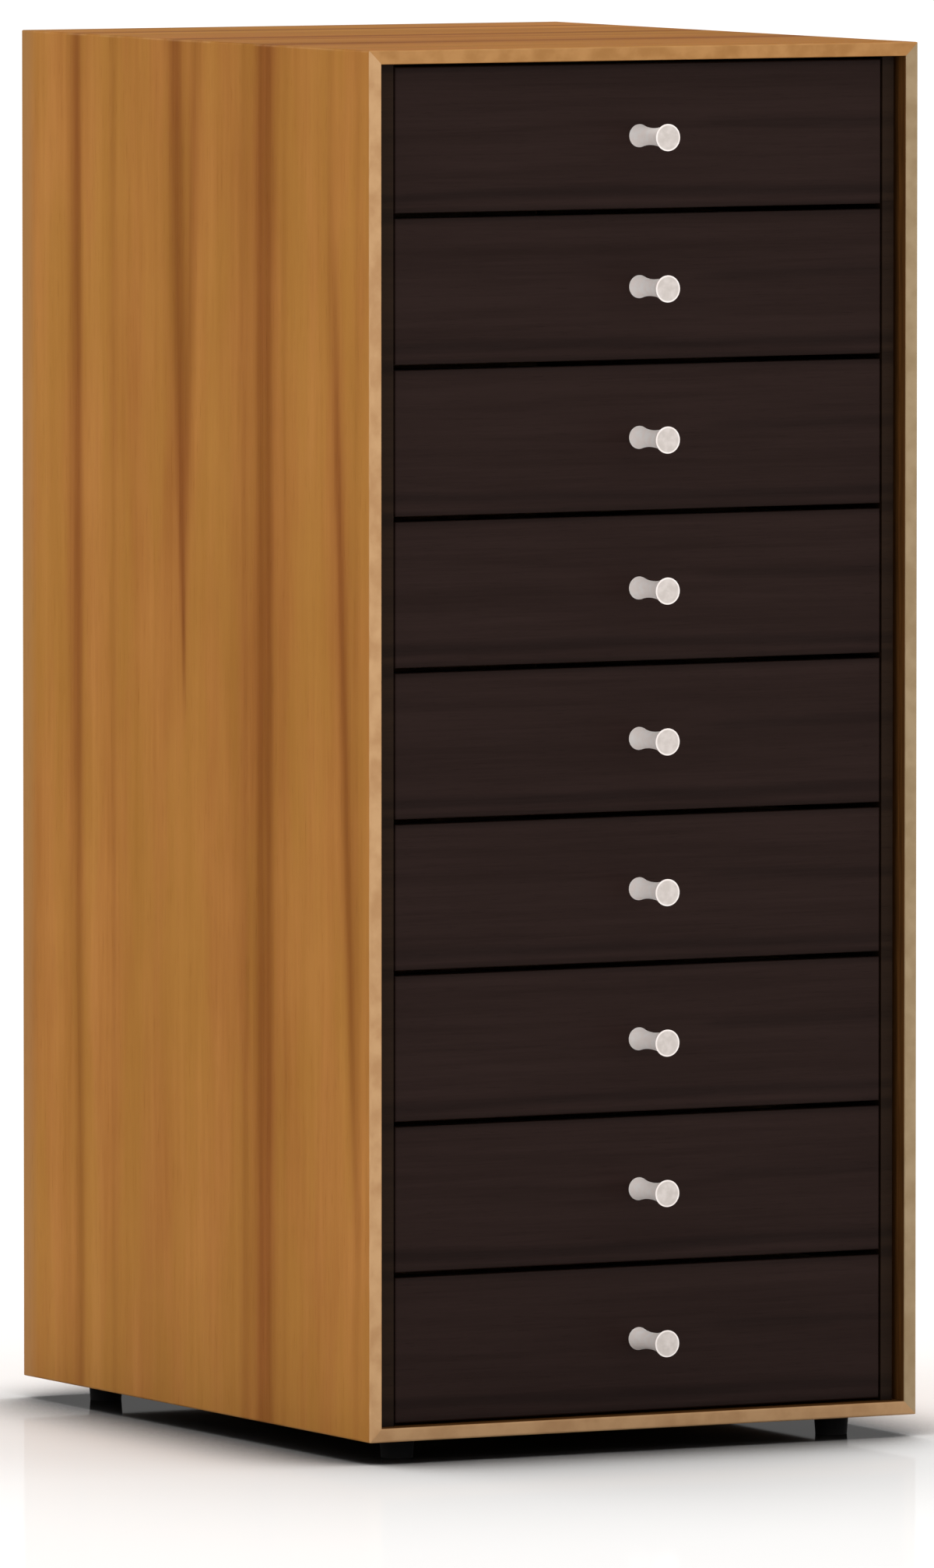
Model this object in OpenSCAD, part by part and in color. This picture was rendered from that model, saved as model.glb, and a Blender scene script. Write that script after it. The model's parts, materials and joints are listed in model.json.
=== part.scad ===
// Tabletop chest of nine shallow drawers in a thin mitred wooden case.
// X runs across the chest, -Y is the front and +Z is up. The feet stand on Z = 0, and the
// origin is the centre of the chest's footprint, pulls included.

/* [Case] */
// Width of the case from side to side
case_w = 280; // [240:1:320]
// Depth of the case from its front edge to its back
case_d = 349; // [300:1:400]
// Height of the case above its feet
case_h = 624; // [590:1:700]
// Thickness of the four mitred panels
panel_t = 6.4; // [6:0.1:8]
// Thickness of the back panel, let into a rabbet
back_t = 4; // [3:0.5:5]
// Radius of the eased edges of the panels
case_edge_r = 1; // [0.5:0.1:1.5]
// Thickness of the splines across the mitres
spline_t = 1.6; // [1:0.1:2]

/* [Drawers] */
// Number of drawers, one above the other
drawer_count = 9; // [8:1:9]
// How far the drawer fronts sit behind the front edge of the case
front_recess = 6; // [4:0.5:10]
// Gap between two neighbouring fronts
front_gap = 2.4; // [1.6:0.1:3]
// Thickness of a drawer front
front_t = 12; // [11:0.5:14]
// Radius of the eased edges of a drawer front
front_edge_r = 0.8; // [0.4:0.1:1.2]
// Thickness of a drawer's side and back walls
wall_t = 8; // [7.5:0.1:9]
// Height of a drawer's side walls
wall_h = 57; // [50:0.5:58]
// Thickness of a drawer's bottom
bottom_t = 3; // [2.5:0.5:4]

/* [Liners and runners] */
// Thickness of the boards that line the two sides
liner_t = 8.8; // [8:0.1:10]
// Width of the step along a liner's front edge, next to the case
reveal_w = 3; // [2:0.5:4]
// Depth of that step
reveal_d = 8; // [5:0.5:12]
// Height of a runner
runner_h = 6; // [5:0.5:7]
// How far a runner stands out of its liner
runner_proud = 5.2; // [4.8:0.1:5.4]
// How deep a runner is let into its liner
dado_d = 2; // [1.5:0.5:3]
// Thickness of the rear stops, front to back
stop_t = 14; // [10:1:20]

/* [Pulls] */
// Length of a pull in front of the drawer's face
pull_len = 27.5; // [22:0.5:30]
// Diameter of a pull's front disc
pull_disc_dia = 12.2; // [12:0.1:16]
// Diameter of a pull at its waist
pull_waist_dia = 7.6; // [7.5:0.1:8.5]
// Diameter of a pull where it meets the drawer
pull_base_dia = 10.4; // [10:0.1:13]

/* [Feet] */
// Height of a foot
foot_h = 10; // [8:0.5:12]
// Diameter of a foot against the case
foot_top_dia = 16; // [15:0.5:20]
// Diameter of a foot at the table
foot_base_dia = 14.4; // [13.5:0.1:15]
// Distance from a case edge to the centre of a foot
foot_inset = 28.5; // [20:0.5:40]

/* [Hidden] */
$fn = 64;
// Overcut that keeps cutters clear of the faces they pass through
over = 1;
// Space left round fasteners and splines in their holes
snug = 0.05;
// Space between moving drawers and the case
slide_gap = 0.4;

// Places in the case
front_y = -(case_d + pull_len - front_recess) / 2 + pull_len - front_recess;
back_y = front_y + case_d;
base_z = foot_h;
top_z = base_z + case_h;
middle_z = (base_z + top_z) / 2;
face_y = front_y + front_recess;
inner_x = case_w / 2 - panel_t;
floor_z = base_z + panel_t;
ceiling_z = top_z - panel_t;
back_face_y = back_y - back_t;
back_rabbet = panel_t / 2;
spline_w = panel_t * 0.65;
spline_front_inset = 12;
spline_back_inset = 4;

// Drawer layout: the pitch is kept to a tenth of a millimetre, and the remainder is shared
pitch = floor((ceiling_z - floor_z) / drawer_count * 10) / 10;
drawers_z = (floor_z + ceiling_z - drawer_count * pitch) / 2;
front_h = pitch - front_gap;
channel_x = inner_x - liner_t;
front_side_gap = 0.8;
front_half_w = channel_x - front_side_gap;
front_lip = 0.6;
wall_x = front_half_w - front_lip;
rebate_d = front_t / 2;
wall_front_y = face_y + front_t - rebate_d;
drawer_back_y = back_face_y - stop_t - slide_gap;
wall_drop = 3;
bottom_drop = 6;
groove_d = 4;
groove_slack = 0.1;
bottom_half_w = wall_x - wall_t + groove_d;
bottom_front_y = face_y + front_t - groove_d;

// Runners and the grooves that ride on them
runner_z = 31;
runner_front_inset = 5;
runner_front_y = face_y + front_t + runner_front_inset;
runner_back_inset = 6;
runner_back_y = drawer_back_y - runner_back_inset;
runner_tip_x = channel_x - runner_proud;
runner_screw_inset = 40;

// Rear stops
stop_inset = 4;
stop_w = 12;

// Fasteners
wood_screw_r = 1.4;
wood_head_r = 2.6;
runner_screw_len = 11;
back_screw_len = 20;
back_screw_count = 5;
back_screw_inset = 25;
foot_screw_len = 11;
foot_screw_r = 1.75;
foot_head_r = 3.5;
foot_head_h = 2.4;
foot_recess_r = 4.2;
foot_pilot_d = panel_t - 1;
foot_recess_d = 4.5;
pull_screw_r = 2;
pull_screw_reach = 10;
pull_head_r = 4;
pull_head_h = 2.4;
recess_slot = 0.9;
pan_recess_d = 1.4;
head_chamfer = 0.9;
screw_tip_r = 0.3;
foot_screw_point = 1.4;

// Pull outline
pull_waist_at = pull_len * 0.44;
pull_disc_t = 1;
pull_dome = 0.3;

function drawer_z(n) = drawers_z + (drawer_count - n) * pitch + front_gap / 2;
function flare_r(rise, run) = (rise * rise + run * run) / (2 * rise);
function drawer_nodes(n) = [for (piece = ["front", "walls", "bottom", "pull", "screw"])
    str("drawer_", n, "_", piece)];

// A cuboid from one corner to the other
module block(low, high) {
    translate(low) cube(high - low);
}

// A rectangle with round corners, centred
module round_rect(w, h, r) {
    square([w - 2 * r, h], center = true);
    square([w, h - 2 * r], center = true);
    for (x = [-1, 1], y = [-1, 1])
        translate([x * (w / 2 - r), y * (h / 2 - r)]) circle(r);
}

// A cuboid with its upright edges and its edges along X rounded, from one corner to the other
module eased_block(low, high, r) {
    size = high - low;
    translate((low + high) / 2) intersection() {
        linear_extrude(size.z, center = true) round_rect(size.x, size.y, r);
        rotate([90, 0, 90]) linear_extrude(size.x, center = true) round_rect(size.y, size.z, r);
    }
}

// An outline in X and Z, swept from one Y to another
module along_y(y0, y1) {
    translate([0, y1, 0]) rotate([90, 0, 0]) linear_extrude(y1 - y0) children();
}

// Something and its mirror image in the other half of the chest
module both_sides() {
    children();
    mirror([1, 0, 0]) children();
}

// A wood screw with a countersunk head, driven along +Z with its head flush with Z = 0
module wood_screw(r, head_r, len) {
    head_h = head_r - r;
    difference() {
        rotate_extrude() polygon([[0, 0], [head_r, 0], [r, head_h], [r, len - 2 * r],
                                  [screw_tip_r, len], [0, len]]);
        cross_recess(head_r * 1.2, head_h * 0.8);
    }
}

// The hole that a wood screw sits in, with its countersink
module wood_screw_hole(r, head_r, len) {
    wide = r + snug;
    head_h = head_r - r;
    rotate_extrude() polygon([[0, -over], [head_r + snug, -over], [head_r + snug, 0],
                              [wide, head_h], [wide, len + 0.5], [0, len + 0.5]]);
}

// A chamfered pan head, standing on Z = 0 with its driving side down
module pan_head(r, h) {
    rotate_extrude() polygon([[0, 0], [r - head_chamfer, 0], [r, head_chamfer], [r, h], [0, h]]);
}

// The crossed slots in a screw's head, cut down from Z = 0 towards +Z
module cross_recess(width, depth) {
    for (turn = [0, 90])
        rotate([0, 0, turn])
            block([-width / 2, -recess_slot / 2, -over], [width / 2, recess_slot / 2, depth]);
}

// ---- Case ----

// The whole case as a solid block with eased edges
module case_block() {
    intersection() {
        eased_block([-case_w / 2, front_y, base_z], [case_w / 2, back_y, top_z], case_edge_r);
        along_y(front_y, back_y) translate([0, middle_z]) round_rect(case_w, case_h, case_edge_r);
    }
}

// The part of the case that the left panel takes up, between its two mitres
module side_wedge() {
    along_y(front_y - over, back_y + over)
        polygon([[-case_w / 2, base_z], [-case_w / 2, top_z], [-inner_x, ceiling_z], [-inner_x, floor_z]]);
}

// The part of the case that the top panel takes up
module top_wedge() {
    along_y(front_y - over, back_y + over)
        polygon([[-case_w / 2, top_z], [case_w / 2, top_z], [inner_x, ceiling_z], [-inner_x, ceiling_z]]);
}

// Cutter that eases one inner front edge: the edge lies along Z, with the panel at -X and +Y
module edge_cutter(len) {
    translate([0, 0, -len / 2]) linear_extrude(len) difference() {
        translate([-case_edge_r, -over]) square([case_edge_r + over, case_edge_r + over]);
        translate([-case_edge_r, case_edge_r]) circle(case_edge_r);
    }
}

// The rabbet round the rear of the case that takes the back panel
module back_rabbet_block() {
    block([-inner_x - back_rabbet, back_face_y, floor_z - back_rabbet],
          [inner_x + back_rabbet, back_y + over, ceiling_z + back_rabbet]);
}

// A spline at each of the four mitres, standing square to the mitre
module splines(extra) {
    for (x = [-1, 1], z = [-1, 1])
        translate([x * (case_w - panel_t) / 2, 0, middle_z + z * (case_h - panel_t) / 2])
            along_y(front_y + spline_front_inset, back_face_y - spline_back_inset)
                rotate([0, 0, -45 * x * z])
                    square([spline_w + 2 * extra, spline_t + 2 * extra], center = true);
}

module side_panel() {
    difference() {
        intersection() {
            case_block();
            side_wedge();
        }
        translate([-inner_x, front_y, middle_z]) edge_cutter(case_h);
        back_rabbet_block();
        splines(snug);
    }
}

module left_side() {
    color("peru") side_panel();
}

module right_side() {
    color("peru") mirror([1, 0, 0]) side_panel();
}

module top_panel() {
    color("peru") difference() {
        intersection() {
            case_block();
            top_wedge();
        }
        translate([0, front_y, ceiling_z]) rotate([0, 90, 0]) edge_cutter(case_w);
        back_rabbet_block();
        splines(snug);
    }
}

module bottom_panel() {
    color("peru") difference() {
        intersection() {
            case_block();
            translate([0, 0, 2 * middle_z]) mirror([0, 0, 1]) top_wedge();
        }
        translate([0, front_y, floor_z]) rotate([0, -90, 0]) edge_cutter(case_w);
        back_rabbet_block();
        splines(snug);
        at_feet() cylinder(h = 2 * foot_pilot_d, r = foot_screw_r + snug, center = true);
    }
}

module back_panel() {
    color("tan") difference() {
        block([-inner_x - back_rabbet, back_face_y, floor_z - back_rabbet],
              [inner_x + back_rabbet, back_y, ceiling_z + back_rabbet]);
        at_back_screws() wood_screw_hole(wood_screw_r, wood_head_r, back_screw_len);
    }
}

module mitre_splines() {
    color("tan") splines(0);
}

// ---- Inside the case ----

// Places of the back screws, each frame looking forward into the back panel
module at_back_screws() {
    step = (ceiling_z - floor_z - 2 * back_screw_inset) / (back_screw_count - 1);
    both_sides()
        for (i = [0:back_screw_count - 1])
            translate([-inner_x + liner_t / 2, back_y, floor_z + back_screw_inset + i * step])
                rotate([90, 0, 0]) children();
}

// Places of the runner screws on the left, each frame looking out from the drawer into the liner
module at_left_runner_screws() {
    for (n = [1:drawer_count],
         y = [runner_front_y + runner_screw_inset, runner_back_y - runner_screw_inset])
        translate([-runner_tip_x, y, drawer_z(n) + runner_z]) rotate([0, -90, 0]) children();
}

module left_runner_set() {
    for (n = [1:drawer_count])
        translate([0, 0, drawer_z(n) + runner_z])
            block([-channel_x - dado_d, runner_front_y, -runner_h / 2],
                  [-runner_tip_x, runner_back_y, runner_h / 2]);
}

module liner() {
    difference() {
        block([-inner_x, face_y, floor_z], [-channel_x, back_face_y, ceiling_z]);
        block([-inner_x - over, face_y - over, floor_z - over],
              [-inner_x + reveal_w, face_y + reveal_d, ceiling_z + over]);
        left_runner_set();
        at_left_runner_screws() wood_screw_hole(wood_screw_r, wood_head_r, runner_screw_len);
        at_back_screws() wood_screw_hole(wood_screw_r, wood_head_r, back_screw_len);
    }
}

module left_liner() {
    color("#3a2c25") liner();
}

module right_liner() {
    color("#3a2c25") mirror([1, 0, 0]) liner();
}

module runners() {
    difference() {
        left_runner_set();
        at_left_runner_screws() wood_screw_hole(wood_screw_r, wood_head_r, runner_screw_len);
    }
}

module left_runners() {
    color("wheat") runners();
}

module right_runners() {
    color("wheat") mirror([1, 0, 0]) runners();
}

module runner_screws() {
    color("silver") both_sides() at_left_runner_screws()
        wood_screw(wood_screw_r, wood_head_r, runner_screw_len);
}

module rear_stops() {
    color("tan") both_sides()
        block([-channel_x + stop_inset, back_face_y - stop_t, floor_z],
              [-channel_x + stop_inset + stop_w, back_face_y, ceiling_z]);
}

module back_screws() {
    color("silver") at_back_screws() wood_screw(wood_screw_r, wood_head_r, back_screw_len);
}

// ---- Feet ----

// Places of the feet, on the underside of the case
module at_feet() {
    for (x = [-1, 1], y = [front_y + foot_inset, back_y - foot_inset])
        translate([x * (case_w / 2 - foot_inset), y, base_z]) children();
}

module feet() {
    color("#202020") at_feet() difference() {
        translate([0, 0, -foot_h]) cylinder(h = foot_h, d1 = foot_base_dia, d2 = foot_top_dia);
        translate([0, 0, -foot_h - over]) cylinder(h = foot_recess_d + over, r = foot_recess_r);
        cylinder(h = 3 * foot_h, r = foot_screw_r + snug, center = true);
    }
}

module foot_screws() {
    tip = foot_screw_len + foot_screw_point;
    color("silver") at_feet() translate([0, 0, -foot_h + foot_recess_d - foot_head_h]) difference() {
        union() {
            pan_head(foot_head_r, foot_head_h);
            rotate_extrude() polygon([[0, 1], [foot_screw_r, 1], [foot_screw_r, foot_screw_len],
                                      [screw_tip_r, tip], [0, tip]]);
        }
        cross_recess(foot_head_r * 1.3, pan_recess_d);
    }
}

// ---- Drawers ----

// The groove in a side wall that rides on a runner, open at the back
module runner_groove() {
    block([-wall_x - over, runner_front_y - runner_front_inset / 2, runner_z - runner_h / 2 - slide_gap],
          [-runner_tip_x + slide_gap, drawer_back_y + over, runner_z + runner_h / 2 + slide_gap]);
}

// The groove in a drawer's front and side walls that holds its bottom
module bottom_groove() {
    block([-bottom_half_w, bottom_front_y, bottom_drop - groove_slack],
          [bottom_half_w, drawer_back_y + over, bottom_drop + bottom_t + groove_slack]);
}

// Stands a drawer's piece in its place in the case
module in_drawer(n) {
    translate([0, 0, drawer_z(n)]) children();
}

module drawer_front(n) {
    color("#2a211d") in_drawer(n) difference() {
        eased_block([-front_half_w, face_y, 0], [front_half_w, face_y + front_t, front_h], front_edge_r);
        both_sides() block([-wall_x - snug, wall_front_y, wall_drop - snug],
                           [-wall_x + wall_t, face_y + front_t + over, wall_drop + wall_h + snug]);
        bottom_groove();
        translate([0, face_y, front_h / 2]) rotate([90, 0, 0])
            cylinder(h = 3 * front_t, r = pull_screw_r + snug, center = true);
    }
}

module drawer_walls(n) {
    color("burlywood") in_drawer(n) {
        both_sides() difference() {
            block([-wall_x, wall_front_y, wall_drop],
                  [-wall_x + wall_t, drawer_back_y, wall_drop + wall_h]);
            runner_groove();
            bottom_groove();
        }
        block([-wall_x + wall_t + snug, drawer_back_y - wall_t, bottom_drop + bottom_t + groove_slack],
              [wall_x - wall_t - snug, drawer_back_y, wall_drop + wall_h]);
    }
}

module drawer_bottom(n) {
    color("wheat") in_drawer(n)
        block([-bottom_half_w + groove_slack, bottom_front_y + groove_slack, bottom_drop],
              [bottom_half_w - groove_slack, drawer_back_y, bottom_drop + bottom_t]);
}

// Half outline of a pull: radius along X, distance from the drawer along Y
module pull_outline() {
    waist_r = pull_waist_dia / 2;
    disc_r = pull_disc_dia / 2;
    rim_r = pull_disc_t / 2;
    neck_end = pull_len - pull_disc_t;
    base_run = pull_waist_at;
    disc_run = neck_end - pull_waist_at;
    base_flare = flare_r(pull_base_dia / 2 - waist_r, base_run);
    disc_flare = flare_r(disc_r - rim_r - waist_r, disc_run);
    dome_r = flare_r(pull_dome, disc_r - rim_r / 2);
    difference() {
        square([pull_base_dia / 2, base_run]);
        translate([waist_r + base_flare, base_run]) circle(base_flare, $fn = 256);
    }
    difference() {
        translate([0, base_run]) square([disc_r, disc_run + rim_r]);
        translate([waist_r + disc_flare, base_run]) circle(disc_flare, $fn = 256);
        translate([disc_r - rim_r, neck_end]) square([over, rim_r + over]);
    }
    intersection() {
        translate([0, neck_end]) union() {
            square([disc_r - rim_r, pull_disc_t]);
            translate([disc_r - rim_r, rim_r]) circle(rim_r);
        }
        translate([0, pull_len - dome_r]) circle(dome_r, $fn = 256);
        square([disc_r, pull_len]);
    }
}

module drawer_pull(n) {
    color("silver") in_drawer(n) translate([0, face_y, front_h / 2]) rotate([90, 0, 0]) difference() {
        rotate_extrude() pull_outline();
        translate([0, 0, -over]) cylinder(h = pull_screw_reach + 1 + over, r = pull_screw_r + snug);
    }
}

module drawer_screw(n) {
    shank = front_t + pull_screw_reach;
    color("silver") in_drawer(n) translate([0, face_y + front_t, front_h / 2]) rotate([90, 0, 0]) {
        cylinder(h = shank, r = pull_screw_r);
        translate([0, 0, -pull_head_h]) difference() {
            pan_head(pull_head_r, pull_head_h);
            cross_recess(pull_head_r * 1.2, pan_recess_d);
        }
    }
}

left_side();
right_side();
top_panel();
bottom_panel();
back_panel();
mitre_splines();
left_liner();
right_liner();
left_runners();
right_runners();
runner_screws();
rear_stops();
back_screws();
feet();
foot_screws();
for (n = [1:drawer_count]) {
    drawer_front(n);
    drawer_walls(n);
    drawer_bottom(n);
    drawer_pull(n);
    drawer_screw(n);
}
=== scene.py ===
import json
import math
from dataclasses import dataclass

import bmesh
import bpy
from mathutils import Matrix, Vector

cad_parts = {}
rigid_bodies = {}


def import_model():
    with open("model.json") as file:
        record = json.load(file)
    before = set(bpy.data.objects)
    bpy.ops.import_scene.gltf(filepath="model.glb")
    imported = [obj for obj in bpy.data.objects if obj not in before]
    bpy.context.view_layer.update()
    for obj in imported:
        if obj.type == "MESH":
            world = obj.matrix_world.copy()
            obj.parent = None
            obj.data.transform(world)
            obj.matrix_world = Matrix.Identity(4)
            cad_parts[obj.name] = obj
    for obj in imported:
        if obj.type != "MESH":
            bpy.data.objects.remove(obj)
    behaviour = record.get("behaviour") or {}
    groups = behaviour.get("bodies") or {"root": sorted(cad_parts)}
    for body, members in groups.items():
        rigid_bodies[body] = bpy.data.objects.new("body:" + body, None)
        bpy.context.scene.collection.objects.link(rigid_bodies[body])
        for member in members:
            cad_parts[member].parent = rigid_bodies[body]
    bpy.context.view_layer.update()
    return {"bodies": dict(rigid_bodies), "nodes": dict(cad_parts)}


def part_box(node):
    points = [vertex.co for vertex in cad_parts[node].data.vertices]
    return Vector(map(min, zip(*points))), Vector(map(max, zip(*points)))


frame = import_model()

NODES = frame["nodes"]
MM = 0.001

DRAWERS = sorted(name.split("_")[1] for name in frame["bodies"] if name.startswith("drawer_"))


# ---- Places read from the frame ----

LEFT_LOW, LEFT_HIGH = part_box("left_side")
RIGHT_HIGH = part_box("right_side")[1]
CASE_LOW = Vector((LEFT_LOW.x, LEFT_LOW.y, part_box("bottom_panel")[0].z))
CASE_HIGH = Vector((RIGHT_HIGH.x, RIGHT_HIGH.y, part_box("top_panel")[1].z))
DEPTH = CASE_HIGH.y - CASE_LOW.y
PANEL = LEFT_HIGH.x - LEFT_LOW.x
FRONT_LOW, FRONT_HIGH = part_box(f"drawer_{DRAWERS[-1]}_front")
FRONT_H = FRONT_HIGH.z - FRONT_LOW.z
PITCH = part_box(f"drawer_{DRAWERS[-2]}_front")[0].z - FRONT_LOW.z
PULL_LOW, PULL_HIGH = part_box(f"drawer_{DRAWERS[-1]}_pull")
PULL_FRONT = PULL_LOW.y
PULL_RADIUS = (PULL_HIGH.x - PULL_LOW.x) / 2


# ---- Node trees ----

def linear(r, g, b):
    """An sRGB colour given in 0 to 255, as linear RGBA."""
    def one(c):
        c = c / 255
        return c / 12.92 if c <= 0.04045 else ((c + 0.055) / 1.055) ** 2.4
    return (one(r), one(g), one(b), 1.0)


# Places of a Mix node's colour sockets, which share their names with its other sockets
MIX_SHARE, MIX_A, MIX_B, MIX_RESULT = 0, 6, 7, 2


class Tree:
    """Builds one material's nodes. Values given to its methods are numbers, tuples or sockets."""

    def __init__(self, name):
        self.material = bpy.data.materials.new(name)
        self.material.use_nodes = True
        self.tree = self.material.node_tree
        self.tree.nodes.clear()
        self.shader = self.tree.nodes.new("ShaderNodeBsdfPrincipled")
        output = self.tree.nodes.new("ShaderNodeOutputMaterial")
        self.tree.links.new(self.shader.outputs["BSDF"], output.inputs["Surface"])
        place = self.tree.nodes.new("ShaderNodeTexCoord")
        split = self.tree.nodes.new("ShaderNodeSeparateXYZ")
        self.tree.links.new(place.outputs["Object"], split.inputs[0])
        self.x, self.y, self.z = split.outputs

    def put(self, socket, value):
        if isinstance(value, bpy.types.NodeSocket):
            self.tree.links.new(value, socket)
        else:
            socket.default_value = value

    def node(self, kind, settings=None, **inputs):
        made = self.tree.nodes.new(kind)
        for key, value in (settings or {}).items():
            setattr(made, key, value)
        for key, value in inputs.items():
            self.put(made.inputs[key], value)
        return made

    def math(self, operation, a, b=0.0, c=0.0):
        made = self.node("ShaderNodeMath", {"operation": operation})
        for socket, value in zip(made.inputs, (a, b, c)):
            self.put(socket, value)
        return made.outputs[0]

    def add(self, a, b):
        return self.math("ADD", a, b)

    def sub(self, a, b):
        return self.math("SUBTRACT", a, b)

    def mul(self, a, b):
        return self.math("MULTIPLY", a, b)

    def scale_add(self, a, scale, offset):
        return self.math("MULTIPLY_ADD", a, scale, offset)

    def largest(self, a, b):
        return self.math("MAXIMUM", a, b)

    def smallest(self, a, b):
        return self.math("MINIMUM", a, b)

    def vector(self, x, y, z):
        return self.node("ShaderNodeCombineXYZ", X=x, Y=y, Z=z).outputs[0]

    def scaled(self, x, y, z):
        """The object's own coordinates, each times a number of waves per metre."""
        return self.vector(self.mul(self.x, x), self.mul(self.y, y), self.mul(self.z, z))

    def noise(self, vector, detail=2.0, roughness=0.5):
        return self.node("ShaderNodeTexNoise", Vector=vector, Scale=1.0, Detail=detail,
                         Roughness=roughness).outputs["Fac"]

    def grain(self, across, along, fine, coarse, seed, detail=2.0, roughness=0.5):
        """Noise drawn out along the grain: fine waves per metre across it and coarse ones along it."""
        place = self.vector(self.mul(across, fine), self.mul(along, coarse), seed)
        return self.noise(place, detail, roughness)

    def ramp(self, value, low, high, start=0.0, end=1.0, smooth=True):
        """Maps value from low..high to start..end, held outside."""
        kind = "SMOOTHSTEP" if smooth else "LINEAR"
        made = self.node("ShaderNodeMapRange", {"interpolation_type": kind})
        for key, number in (("Value", value), ("From Min", low), ("From Max", high),
                            ("To Min", start), ("To Max", end)):
            self.put(made.inputs[key], number)
        return made.outputs[0]

    def mix(self, share, a, b, blend="MIX"):
        made = self.node("ShaderNodeMix", {"data_type": "RGBA", "blend_type": blend})
        self.put(made.inputs[MIX_SHARE], share)
        self.put(made.inputs[MIX_A], a)
        self.put(made.inputs[MIX_B], b)
        return made.outputs[MIX_RESULT]

    def bump(self, height, distance, strength):
        made = self.node("ShaderNodeBump", Height=height, Distance=distance, Strength=strength)
        self.put(self.shader.inputs["Normal"], made.outputs[0])

    def look(self, **inputs):
        for key, value in inputs.items():
            self.put(self.shader.inputs[key.replace("_", " ")], value)
        return self.material


def near_edge(t, reach, *distances):
    """1 on an edge, where two of the distances to a solid's faces are small, and 0 beyond reach."""
    masks = [t.ramp(d, 0.0, reach, 1.0, 0.0) for d in distances]
    total = None
    for i, a in enumerate(masks):
        for b in masks[i + 1:]:
            both = t.mul(a, b)
            total = both if total is None else t.largest(total, both)
    return total


# ---- Materials ----

# The case's wood: tones that the grain mixes, then tints that colours are multiplied by
WOOD_DARK = linear(146, 91, 37)
WOOD_LIGHT = linear(182, 125, 64)
WOOD_OLIVE = linear(158, 112, 44)
WOOD_REAR = linear(154, 113, 70)
INSIDE_DARK = linear(72, 44, 20)
INSIDE_LIGHT = linear(94, 60, 28)
# Painted shade: darkens the top face against the light it gets from above
TOP_SHADE_TINT = (0.80, 0.78, 0.77, 1.0)
STREAK_TINT = (0.50, 0.34, 0.24, 1.0)
PALE_TINT = (1.18, 1.24, 1.45, 1.0)
PORE_TINT = (0.5, 0.42, 0.36, 1.0)

# How far up the sides are painted lighter, painted light against the shade near the floor, and the
# wood's specular level on the case and on its top
PAINTED_LIGHT_FOOT = 220 * MM
CASE_SHEEN = 0.02
TOP_SHEEN = 0.005

# The case's front lippings, dark and light
LEFT_LIP = (linear(184, 142, 101), linear(204, 164, 121))
RIGHT_LIP = (linear(150, 131, 102), linear(166, 147, 118))
TOP_LIP = (linear(164, 118, 71), linear(184, 137, 87))
BOTTOM_LIP = (linear(171, 134, 97), linear(187, 150, 111))

# The dark wood's tones and tints
FRONT_TONES = (linear(34, 22, 19), linear(43, 30, 27))
LINER_TONES = (linear(32, 21, 14), linear(41, 28, 19))
# Tint of the darker lines on the fronts; the one beside the pull is painted shadow
LINE_TINT = (0.30, 0.28, 0.28, 1.0)
DARK_PORE_TINT = (0.45, 0.42, 0.40, 1.0)
# Painted shade beside the gaps between the fronts
GAP_SHADE_TINT = (0.25, 0.22, 0.20, 1.0)

# Everything else, dark and light
# The pull's sides are painted lighter than its face: painted light against the shade from the dark
# front
PULL_SIDE_PAINTED_LIGHT = (linear(254, 243, 238), linear(255, 249, 246))
PULL_FACE = (linear(202, 193, 187), linear(217, 208, 203))
STEEL_TONES = (linear(150, 150, 152), linear(196, 194, 188))
RUBBER_TONES = (linear(13, 13, 14), linear(40, 38, 36))
DRAWER_TONES = (linear(196, 164, 120), linear(222, 194, 152))
BOTTOM_TONES = (linear(204, 176, 136), linear(226, 202, 164))
RUNNER_TONES = (linear(186, 148, 108), linear(206, 172, 132))
BACK_TONES = (linear(128, 82, 42), linear(160, 108, 60))

# Axes that a board's grain can follow
ALONG_X, ALONG_Y, ALONG_Z = 0, 1, 2


@dataclass
class Streak:
    """A dark or pale streak in the veneer. Its share is its place across the case, 0 at the rear and
    1 at the front. It runs between the heights low and high along the grain and fades out beyond them;
    None is no limit. It leans by a length for each metre along the grain, and taper is how far above
    its low end it takes to reach its full width."""

    share: float
    width: float
    strength: float
    wander: float = 0.5 * MM
    lean: float = 0.0
    low: float | None = None
    high: float | None = None
    fade: float = 0.03
    taper: float = 0.0


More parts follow.
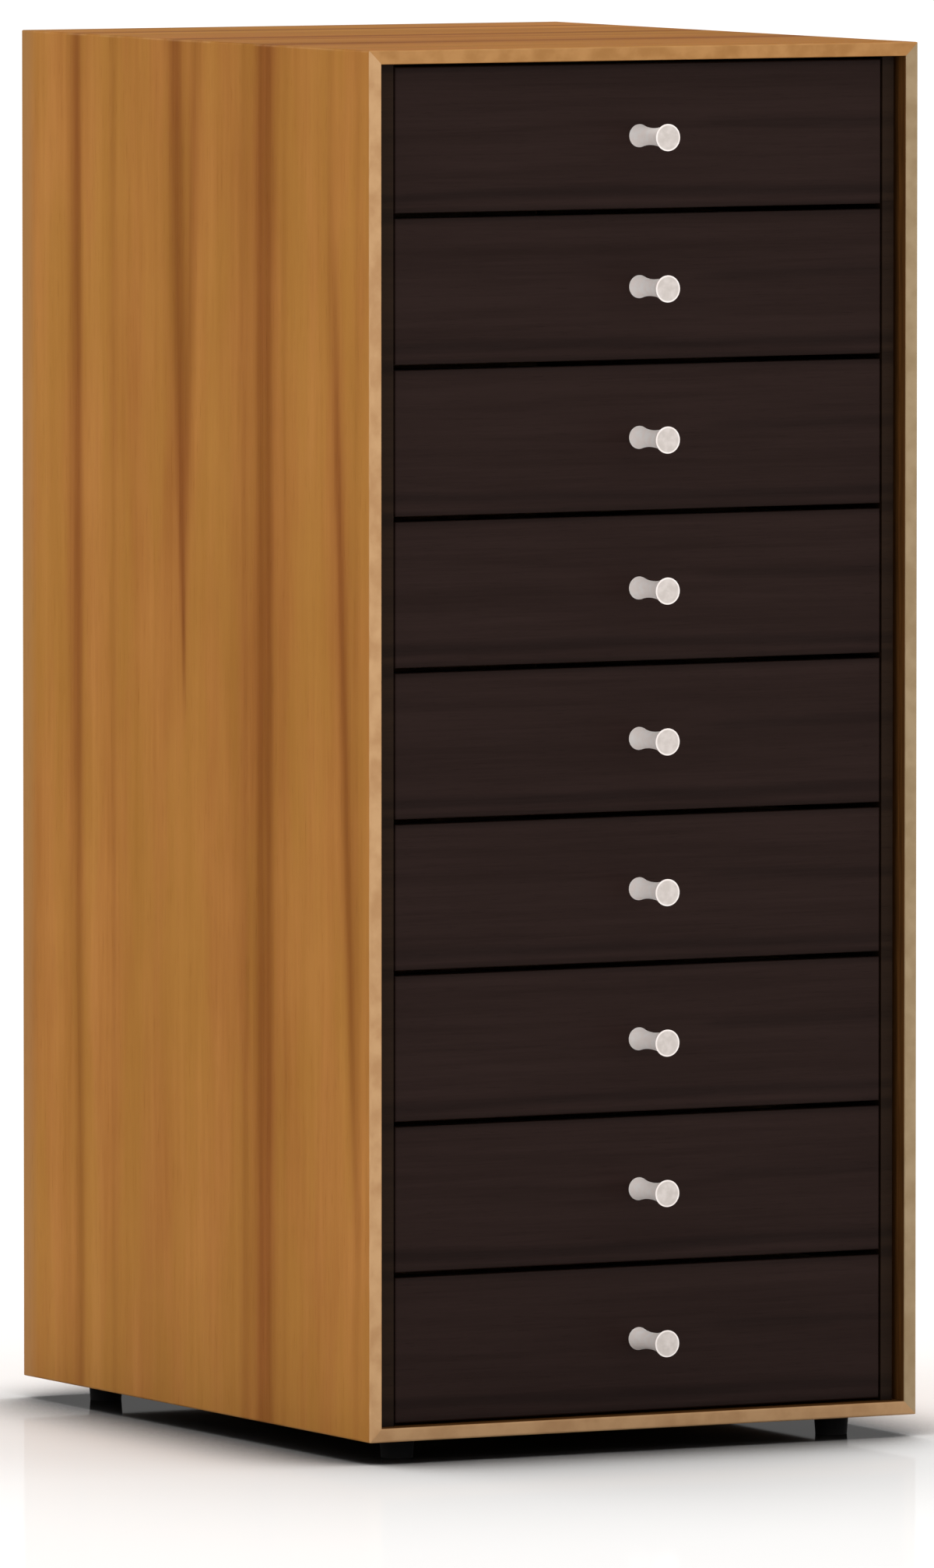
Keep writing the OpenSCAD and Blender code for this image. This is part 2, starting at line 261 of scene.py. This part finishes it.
# Heights along the grain are x + z, so that streaks run on from the left side over the top
STREAKS = (
    Streak(0.167, 4.4 * MM, 0.42, lean=-0.004),
    Streak(0.168, 4.4 * MM, 0.54, lean=-0.004, low=0.10, fade=0.36),
    Streak(0.147, 4.5 * MM, 0.30, low=0.05, fade=0.25),
    Streak(0.270, 3.4 * MM, 0.22, wander=1.0 * MM),
    Streak(0.390, 15.0 * MM, 0.13, high=0.10, fade=0.15),
    Streak(0.478, 7.4 * MM, 0.77, lean=-0.032, low=0.20, taper=0.20),
    Streak(0.464, 5.5 * MM, 0.45, lean=0.050, low=0.27, fade=0.05),
    Streak(0.455, 15.0 * MM, 0.16, lean=-0.010, low=0.22, fade=0.10),
    Streak(0.645, 4.5 * MM, 0.22, wander=0.8 * MM),
    Streak(0.650, 3.4 * MM, 0.18, wander=0.8 * MM, high=0.35, fade=0.25),
    Streak(0.615, 13.0 * MM, 0.11, wander=1.0 * MM),
    Streak(0.702, 13.0 * MM, 0.54, wander=0.8 * MM),
    Streak(0.694, 3.6 * MM, 0.50),
    Streak(0.716, 3.6 * MM, 0.48),
    Streak(0.762, 3.0 * MM, 0.14, wander=1.0 * MM),
    Streak(0.932, 4.6 * MM, 0.70, lean=-0.050, low=0.00, high=0.38, fade=0.08),
    Streak(0.943, 12.0 * MM, 0.28, lean=-0.040, low=0.06, high=0.30, fade=0.08),
    Streak(0.888, 3.4 * MM, 0.18, low=0.36, fade=0.05),
    Streak(0.966, 3.4 * MM, 0.16, wander=1.0 * MM),
)
PALE_BANDS = (
    Streak(0.070, 11.0 * MM, 0.20),
    Streak(0.214, 7.0 * MM, 0.40),
    Streak(0.330, 4.5 * MM, 0.30, high=-0.06, fade=0.08),
    Streak(0.560, 9.0 * MM, 0.12),
    Streak(0.840, 16.0 * MM, 0.20),
)
# The height at which a leaning streak has its share, about half way up the left side
MID_ALONG = 0.18
# A tapering streak's width at its low end, as a part of its full width
NARROW_END = 0.25


def streak_field(t, across, along, streaks, seed):
    """How strong the veneer's streaks are at a point, 0 to about 1."""
    total = None
    for number, s in enumerate(streaks):
        wave = t.noise(t.vector(t.mul(along, 7.0), number * 7.3 + seed, 0.0))
        centre = CASE_HIGH.y - s.share * DEPTH
        offset = t.add(t.scale_add(wave, 4 * s.wander, -2 * s.wander - centre - s.lean * MID_ALONG),
                       t.mul(along, s.lean))
        width = s.width
        if s.taper:
            width = t.ramp(along, s.low - s.fade, s.low + s.taper, NARROW_END * s.width, s.width)
        away = t.math("DIVIDE", t.add(across, offset), width)
        core = t.math("POWER", math.e, t.mul(t.mul(away, away), -1.0))
        grain = t.grain(across, along, 1100.0, 10.0, number * 3.1 + seed, detail=3.0)
        strength = t.scale_add(grain, 0.7 * s.strength, 0.65 * s.strength)
        if s.low is not None:
            strength = t.mul(strength, t.ramp(along, s.low - s.fade, s.low + s.fade))
        if s.high is not None:
            ending = t.ramp(along, s.high - s.fade, s.high + s.fade, 1.0, 0.0)
            strength = t.mul(strength, ending)
        part = t.mul(core, strength)
        if total is None:
            total = part
        else:
            total = t.sub(t.add(total, part), t.mul(total, part))
    return total


def veneer_tone(t, across, along):
    """The veneer's own light and dark, 0 to 1, from bands, wisps and blotches; and its fibres."""
    broad = t.grain(across, along, 24.0, 1.0, 3.1)
    bands = t.grain(across, along, 110.0, 5.0, 8.7, detail=3.0, roughness=0.6)
    wisps = t.grain(across, along, 260.0, 14.0, 15.2)
    fibres = t.grain(across, along, 700.0, 24.0, 1.3, detail=4.0, roughness=0.65)
    blotches = t.grain(across, along, 16.0, 11.0, 27.5)
    slow = t.add(t.mul(broad, 0.22), t.mul(blotches, 0.26))
    quick = t.add(t.mul(bands, 0.24), t.add(t.mul(wisps, 0.16), t.mul(fibres, 0.12)))
    return t.ramp(t.add(slow, quick), 0.30, 0.70, smooth=False), fibres


def inside_case(t):
    """1 on the faces inside the case and 0 outside it, with the change on the eased front edges."""
    wall = CASE_HIGH.x - PANEL
    ceiling = CASE_HIGH.z - PANEL
    ground = CASE_LOW.z + PANEL
    beside = t.ramp(t.math("ABSOLUTE", t.x), wall + 0.2 * MM, wall + 0.5 * MM, 1.0, 0.0)
    below = t.ramp(t.z, ceiling + 0.2 * MM, ceiling + 0.5 * MM, 1.0, 0.0)
    above = t.ramp(t.z, ground - 0.5 * MM, ground - 0.2 * MM)
    behind = t.ramp(t.y, CASE_LOW.y + 0.25 * MM, CASE_LOW.y + 0.6 * MM)
    return t.mul(t.mul(beside, behind), t.mul(below, above))


def case_wood(name, lip_dark, lip_light, sheen):
    """Oiled tan hardwood veneer, with its grain running up the sides and over the top.
    The front edges have a lipping of their own tone, and the faces inside the case are coloured dark."""
    t = Tree(name)
    along = t.add(t.x, t.z)
    drift = t.grain(t.y, along, 9.0, 3.0, 5.0, detail=1.0)
    across = t.add(t.y, t.scale_add(drift, 3 * MM, -1.5 * MM))
    tone, fibres = veneer_tone(t, across, along)
    hue = t.grain(across, along, 36.0, 6.0, 21.0)
    pores = t.grain(across, along, 2600.0, 60.0, t.mul(t.sub(t.x, t.z), 30.0))
    pore = t.ramp(pores, 0.60, 0.72)
    colour = t.mix(tone, WOOD_DARK, WOOD_LIGHT)
    colour = t.mix(t.ramp(hue, 0.35, 0.65, 0.0, 0.45), colour, WOOD_OLIVE)
    rear = t.ramp(t.y, CASE_HIGH.y - 0.05 * DEPTH, CASE_HIGH.y - 0.01 * DEPTH)
    colour = t.mix(t.mul(rear, 0.7), colour, WOOD_REAR)
    pale = streak_field(t, across, along, PALE_BANDS, 50.0)
    colour = t.mix(pale, colour, PALE_TINT, "MULTIPLY")
    streaks = streak_field(t, across, along, STREAKS, 0.0)
    colour = t.mix(streaks, colour, STREAK_TINT, "MULTIPLY")
    colour = t.mix(t.mul(pore, 0.25), colour, PORE_TINT, "MULTIPLY")
    # The lowest part of the sides is painted a little lighter: painted light that offsets the shade
    # near the floor
    foot_light = t.ramp(t.z, CASE_LOW.z, CASE_LOW.z + PAINTED_LIGHT_FOOT, 0.36, 0.0)
    colour = t.mix(foot_light, colour, PALE_TINT, "MULTIPLY")
    # The top face is painted darker and duller than the sides: painted shade that offsets the light
    # falling on it from above
    top_shade = t.ramp(t.z, CASE_HIGH.z - 0.6 * MM, CASE_HIGH.z - 0.2 * MM)
    colour = t.mix(top_shade, colour, TOP_SHADE_TINT, "MULTIPLY")
    # Front lippings
    edge = t.ramp(t.y, CASE_LOW.y + 0.3 * MM, CASE_LOW.y + 0.9 * MM, 1.0, 0.0)
    lip_grain = t.noise(t.scaled(90.0, 900.0, 90.0), detail=3.0)
    lip = t.mix(t.ramp(lip_grain, 0.3, 0.7), lip_dark, lip_light)
    colour = t.mix(t.mul(edge, 0.9), colour, lip)
    # The faces inside the case are darker
    stained = t.mix(t.ramp(fibres, 0.3, 0.7), INSIDE_DARK, INSIDE_LIGHT)
    colour = t.mix(inside_case(t), colour, stained)
    # Corners handled for years are rubbed slightly paler
    worn = near_edge(t, 1.4 * MM,
                     t.sub(CASE_HIGH.x, t.math("ABSOLUTE", t.x)),
                     t.smallest(t.sub(t.y, CASE_LOW.y), t.sub(CASE_HIGH.y, t.y)),
                     t.smallest(t.sub(t.z, CASE_LOW.z), t.sub(CASE_HIGH.z, t.z)))
    patchy = t.ramp(t.noise(t.scaled(60.0, 60.0, 60.0), detail=3.0), 0.4, 0.62)
    colour = t.mix(t.mul(t.mul(worn, patchy), 0.25), colour, lip_light)
    rough = t.add(t.scale_add(fibres, 0.16, 0.52), t.mul(pore, 0.15))
    t.bump(t.sub(t.mul(fibres, 0.6), pore), 0.05 * MM, 0.5)
    return t.look(Base_Color=colour, Roughness=rough, Specular_IOR_Level=sheen)


def dark_wood(name, dark, light):
    """Very dark brown stained wood with its grain running across the drawer fronts."""
    t = Tree(name)
    above = t.sub(t.z, FRONT_LOW.z)
    height = t.math("FLOORED_MODULO", above, PITCH)
    which = t.math("FLOOR", t.math("DIVIDE", above, PITCH))
    bow = t.noise(t.vector(t.mul(t.x, 6.0), t.mul(which, 1.7), t.mul(t.z, 14.0)))
    level = t.add(height, t.scale_add(bow, 8 * MM, -4 * MM))
    figure = t.noise(t.vector(t.mul(t.x, 5.0), t.mul(which, 0.6), t.mul(level, 150.0)), detail=3.0)
    fibres = t.noise(t.scaled(22.0, 500.0, 900.0), detail=3.0, roughness=0.6)
    pores = t.noise(t.scaled(90.0, 900.0, 2600.0))
    pore = t.ramp(pores, 0.60, 0.70)
    tone = t.ramp(t.add(t.mul(figure, 0.60), t.mul(fibres, 0.40)), 0.25, 0.75)
    colour = t.mix(tone, dark, light)
    # A darker line low on every front, and a painted shadow of the pull on the right, just above the
    # pull's height
    low_line = t.mul(t.ramp(level, 3.0 * MM, 7.0 * MM), t.ramp(level, 7.5 * MM, 12.0 * MM, 1.0, 0.0))
    raised = FRONT_H / 2 + 5.0 * MM
    rise = t.ramp(level, raised - 4.0 * MM, raised - 0.5 * MM)
    fall = t.ramp(level, raised + 0.5 * MM, raised + 4.0 * MM, 1.0, 0.0)
    pull_shadow_line = t.mul(t.mul(rise, fall), t.ramp(t.x, 22 * MM, 50 * MM))
    lines = t.add(t.mul(low_line, 0.43), t.mul(pull_shadow_line, 0.29))
    colour = t.mix(lines, colour, LINE_TINT, "MULTIPLY")
    colour = t.mix(t.mul(pore, 0.30), colour, DARK_PORE_TINT, "MULTIPLY")
    # Painted shade along a front's top and bottom edges, beside the gaps between the drawers
    beside = t.ramp(t.smallest(height, t.sub(FRONT_H, height)), 0.0, 3.5 * MM, 1.0, 0.0)
    colour = t.mix(t.mul(beside, 0.45), colour, GAP_SHADE_TINT, "MULTIPLY")
    # Handling has polished patches of it smoother
    handled = t.noise(t.scaled(30.0, 30.0, 30.0))
    rough = t.add(t.scale_add(fibres, 0.12, 0.34), t.add(t.mul(pore, 0.2), t.mul(handled, -0.06)))
    t.bump(t.sub(t.mul(fibres, 0.5), pore), 0.04 * MM, 0.5)
    return t.look(Base_Color=colour, Roughness=rough, Specular_IOR_Level=0.05)


def pale_wood(name, dark, light, grain_axis):
    """Clear-finished plain wood, with its grain along the given axis."""
    t = Tree(name)
    coarse = [55.0, 55.0, 55.0]
    fine = [650.0, 650.0, 650.0]
    coarse[grain_axis] = 3.0
    fine[grain_axis] = 12.0
    place = (t.x, t.y, t.z)
    bow = t.noise(t.scaled(9.0, 9.0, 9.0), detail=1.0)
    bowed = t.vector(*(t.add(t.mul(p, waves), bow) for p, waves in zip(place, coarse)))
    figure = t.noise(bowed, detail=3.0, roughness=0.6)
    fibres = t.noise(t.scaled(*fine), detail=3.0, roughness=0.6)
    tone = t.ramp(t.add(t.mul(figure, 0.6), t.mul(fibres, 0.4)), 0.35, 0.65)
    colour = t.mix(tone, dark, light)
    rough = t.scale_add(fibres, 0.2, 0.42)
    t.bump(fibres, 0.05 * MM, 0.5)
    return t.look(Base_Color=colour, Roughness=rough, Specular_IOR_Level=0.35)


def pull_metal():
    """Turned metal, satin and off-white, with faint lathe rings; its sides and rim are painted lighter
    than its front face, painted light against the dark front's shade.
    """
    t = Tree("pull_metal")
    middle = (FRONT_LOW.z + FRONT_HIGH.z) / 2
    height = t.math("FLOORED_MODULO", t.sub(t.z, middle - PITCH / 2), PITCH)
    up = t.sub(height, PITCH / 2)
    radius = t.math("SQRT", t.add(t.mul(t.x, t.x), t.mul(up, up)))
    rings = t.noise(t.vector(t.mul(radius, 6000.0), t.mul(t.y, 6000.0), 0.0))
    smudge = t.noise(t.scaled(260.0, 260.0, 260.0), detail=3.0)
    mottled = t.ramp(smudge, 0.35, 0.7)
    face = t.mul(t.ramp(t.y, PULL_FRONT + 0.6 * MM, PULL_FRONT + 1.2 * MM, 1.0, 0.0),
                 t.ramp(radius, PULL_RADIUS - 1.0 * MM, PULL_RADIUS - 0.3 * MM, 1.0, 0.0))
    # Sides and rim take the lighter colour, painted light against the dark front's shade
    colour = t.mix(face, t.mix(mottled, *PULL_SIDE_PAINTED_LIGHT), t.mix(mottled, *PULL_FACE))
    rough = t.add(t.scale_add(smudge, 0.12, 0.30), t.mul(rings, 0.06))
    t.bump(rings, 0.02 * MM, 0.35)
    return t.look(Base_Color=colour, Metallic=0.05, Roughness=rough, Specular_IOR_Level=0.5)


def screw_steel():
    """Zinc-plated steel with a faint mottled bloom."""
    t = Tree("screw_steel")
    bloom = t.noise(t.scaled(900.0, 900.0, 900.0), detail=3.0)
    colour = t.mix(bloom, *STEEL_TONES)
    rough = t.scale_add(bloom, 0.25, 0.25)
    t.bump(bloom, 0.03 * MM, 0.3)
    return t.look(Base_Color=colour, Metallic=1.0, Roughness=rough)


def foot_rubber():
    """Matt black rubber with a fine moulded tooth and dust near the table."""
    t = Tree("foot_rubber")
    tooth = t.noise(t.scaled(2200.0, 2200.0, 2200.0))
    dust = t.noise(t.scaled(180.0, 180.0, 180.0), detail=4.0)
    low = t.ramp(t.z, 0.0, 5 * MM, 1.0, 0.0)
    colour = t.mix(t.mul(t.mul(low, dust), 0.35), *RUBBER_TONES)
    rough = t.scale_add(dust, 0.2, 0.65)
    t.bump(tooth, 0.06 * MM, 0.4)
    return t.look(Base_Color=colour, Roughness=rough, Specular_IOR_Level=0.12)


# The floor's colour out in the open and close under something, how far off a thing still shades
# it, and the openness, 0 to 1, between which the one colour turns into the other
FLOOR_OPEN = (0.864, 0.859, 0.855, 1.0)
FLOOR_SHADED = (0.02, 0.02, 0.02, 1.0)
SHADE_DISTANCE = 0.09
SHADE_FULL, SHADE_NONE = 0.39, 0.99
FLOOR_GLOSS = 0.10
FLOOR_ROUGHNESS = 0.05


def floor_paint():
    """Pale, faintly glossy studio floor, with painted shade where something stands close over it."""
    material = bpy.data.materials.new("floor_paint")
    material.use_nodes = True
    nodes = material.node_tree.nodes
    links = material.node_tree.links
    nodes.clear()
    near = nodes.new("ShaderNodeAmbientOcclusion")
    near.samples = 12
    near.inputs["Distance"].default_value = SHADE_DISTANCE
    reach = nodes.new("ShaderNodeMapRange")
    reach.interpolation_type = "SMOOTHSTEP"
    reach.inputs["From Min"].default_value = SHADE_FULL
    reach.inputs["From Max"].default_value = SHADE_NONE
    links.new(near.outputs["AO"], reach.inputs["Value"])
    tint = nodes.new("ShaderNodeMix")
    tint.data_type = "RGBA"
    links.new(reach.outputs[0], tint.inputs[MIX_SHARE])
    tint.inputs[MIX_A].default_value = FLOOR_SHADED
    tint.inputs[MIX_B].default_value = FLOOR_OPEN
    matt = nodes.new("ShaderNodeBsdfDiffuse")
    links.new(tint.outputs[MIX_RESULT], matt.inputs["Color"])
    gloss = nodes.new("ShaderNodeBsdfGlossy")
    gloss.inputs["Roughness"].default_value = FLOOR_ROUGHNESS
    both = nodes.new("ShaderNodeMixShader")
    both.inputs["Fac"].default_value = FLOOR_GLOSS
    links.new(matt.outputs[0], both.inputs[1])
    links.new(gloss.outputs[0], both.inputs[2])
    output = nodes.new("ShaderNodeOutputMaterial")
    links.new(both.outputs[0], output.inputs["Surface"])
    return material


# ---- Dressing the pieces ----

def dress(node, material):
    NODES[node].data.materials.clear()
    NODES[node].data.materials.append(material)


def ease_edges(node, width):
    """Rounds a node's sharp edges a little, inside its own shape."""
    bevel = NODES[node].modifiers.new("eased", "BEVEL")
    bevel.width = width
    bevel.segments = 2
    bevel.limit_method = "ANGLE"
    bevel.angle_limit = math.radians(40)


def dress_all():
    dark = dark_wood("dark_wood", *FRONT_TONES)
    dark_liner = dark_wood("dark_liner_wood", *LINER_TONES)
    metal = pull_metal()
    steel = screw_steel()
    rubber = foot_rubber()
    drawer_wood = pale_wood("drawer_wood", *DRAWER_TONES, ALONG_Y)
    bottom_wood = pale_wood("drawer_bottom_wood", *BOTTOM_TONES, ALONG_X)
    runner_wood = pale_wood("runner_wood", *RUNNER_TONES, ALONG_Y)
    stop_wood = pale_wood("stop_wood", *RUNNER_TONES, ALONG_Z)
    back_board = pale_wood("back_board", *BACK_TONES, ALONG_Z)
    dress("left_side", case_wood("case_wood_left", *LEFT_LIP, CASE_SHEEN))
    dress("right_side", case_wood("case_wood_right", *RIGHT_LIP, CASE_SHEEN))
    dress("top_panel", case_wood("case_wood_top", *TOP_LIP, TOP_SHEEN))
    dress("bottom_panel", case_wood("case_wood_bottom", *BOTTOM_LIP, CASE_SHEEN))
    for node in ("left_liner", "right_liner"):
        dress(node, dark_liner)
    for node in ("left_runners", "right_runners", "mitre_splines"):
        dress(node, runner_wood)
    for node in ("runner_screws", "back_screws", "foot_screws"):
        dress(node, steel)
    dress("rear_stops", stop_wood)
    dress("back_panel", back_board)
    dress("feet", rubber)
    for n in DRAWERS:
        dress(f"drawer_{n}_front", dark)
        dress(f"drawer_{n}_walls", drawer_wood)
        dress(f"drawer_{n}_bottom", bottom_wood)
        dress(f"drawer_{n}_pull", metal)
        dress(f"drawer_{n}_screw", steel)
        ease_edges(f"drawer_{n}_walls", 0.6 * MM)
    for node in ("left_runners", "right_runners", "rear_stops", "back_panel",
                 "left_liner", "right_liner"):
        ease_edges(node, 0.4 * MM)


# ---- Floor, lights and camera ----

# Half the floor's width in metres, large enough to reach past every view
FLOOR_HALF = 90.0
STUDIO_WHITE = (1.0, 0.99, 0.98, 1.0)
STUDIO_STRENGTH = 1.03

# The sun's leanings are from straight overhead
SUN_STRENGTH = 1.0
SUN_SPREAD = math.radians(30)
SUN_FROM_BEHIND = math.radians(14)
SUN_FROM_RIGHT = math.radians(7)

# The camera, fitted to the case's corners and to the drawers' lines; its lens and sensor are in mm
CAMERA_PLACE = (-4.1411, -7.8742, 0.9047)
CAMERA_TILT = math.radians(86.059)
CAMERA_TURN = math.radians(-27.713)
CAMERA_LENS = 447.18
CAMERA_SENSOR = 36.0


def make_floor():
    mesh = bpy.data.meshes.new("floor")
    shape = bmesh.new()
    bmesh.ops.create_grid(shape, x_segments=8, y_segments=8, size=FLOOR_HALF)
    shape.to_mesh(mesh)
    shape.free()
    floor = bpy.data.objects.new("floor", mesh)
    bpy.context.scene.collection.objects.link(floor)
    mesh.materials.append(floor_paint())


def make_world():
    world = bpy.data.worlds.new("studio")
    world.use_nodes = True
    background = world.node_tree.nodes["Background"]
    background.inputs["Color"].default_value = STUDIO_WHITE
    background.inputs["Strength"].default_value = STUDIO_STRENGTH
    bpy.context.scene.world = world


def make_lights():
    """One soft sun, nearly overhead; the white studio does the rest."""
    data = bpy.data.lights.new("overhead", "SUN")
    data.energy = SUN_STRENGTH
    data.angle = SUN_SPREAD
    light = bpy.data.objects.new("overhead", data)
    light.rotation_euler = (-SUN_FROM_BEHIND, SUN_FROM_RIGHT, 0.0)
    bpy.context.scene.collection.objects.link(light)


def make_camera():
    data = bpy.data.cameras.new("camera")
    data.sensor_width = CAMERA_SENSOR
    data.lens = CAMERA_LENS
    data.clip_start = 0.1
    data.clip_end = 300.0
    camera = bpy.data.objects.new("camera", data)
    camera.location = CAMERA_PLACE
    turn = Matrix.Rotation(CAMERA_TURN, 3, "Z") @ Matrix.Rotation(CAMERA_TILT, 3, "X")
    camera.rotation_euler = turn.to_euler()
    bpy.context.scene.collection.objects.link(camera)
    bpy.context.scene.camera = camera


make_camera()
dress_all()
make_floor()
make_world()
make_lights()

scene = bpy.context.scene
scene.view_settings.view_transform = "Standard"
scene.cycles.use_denoising = True
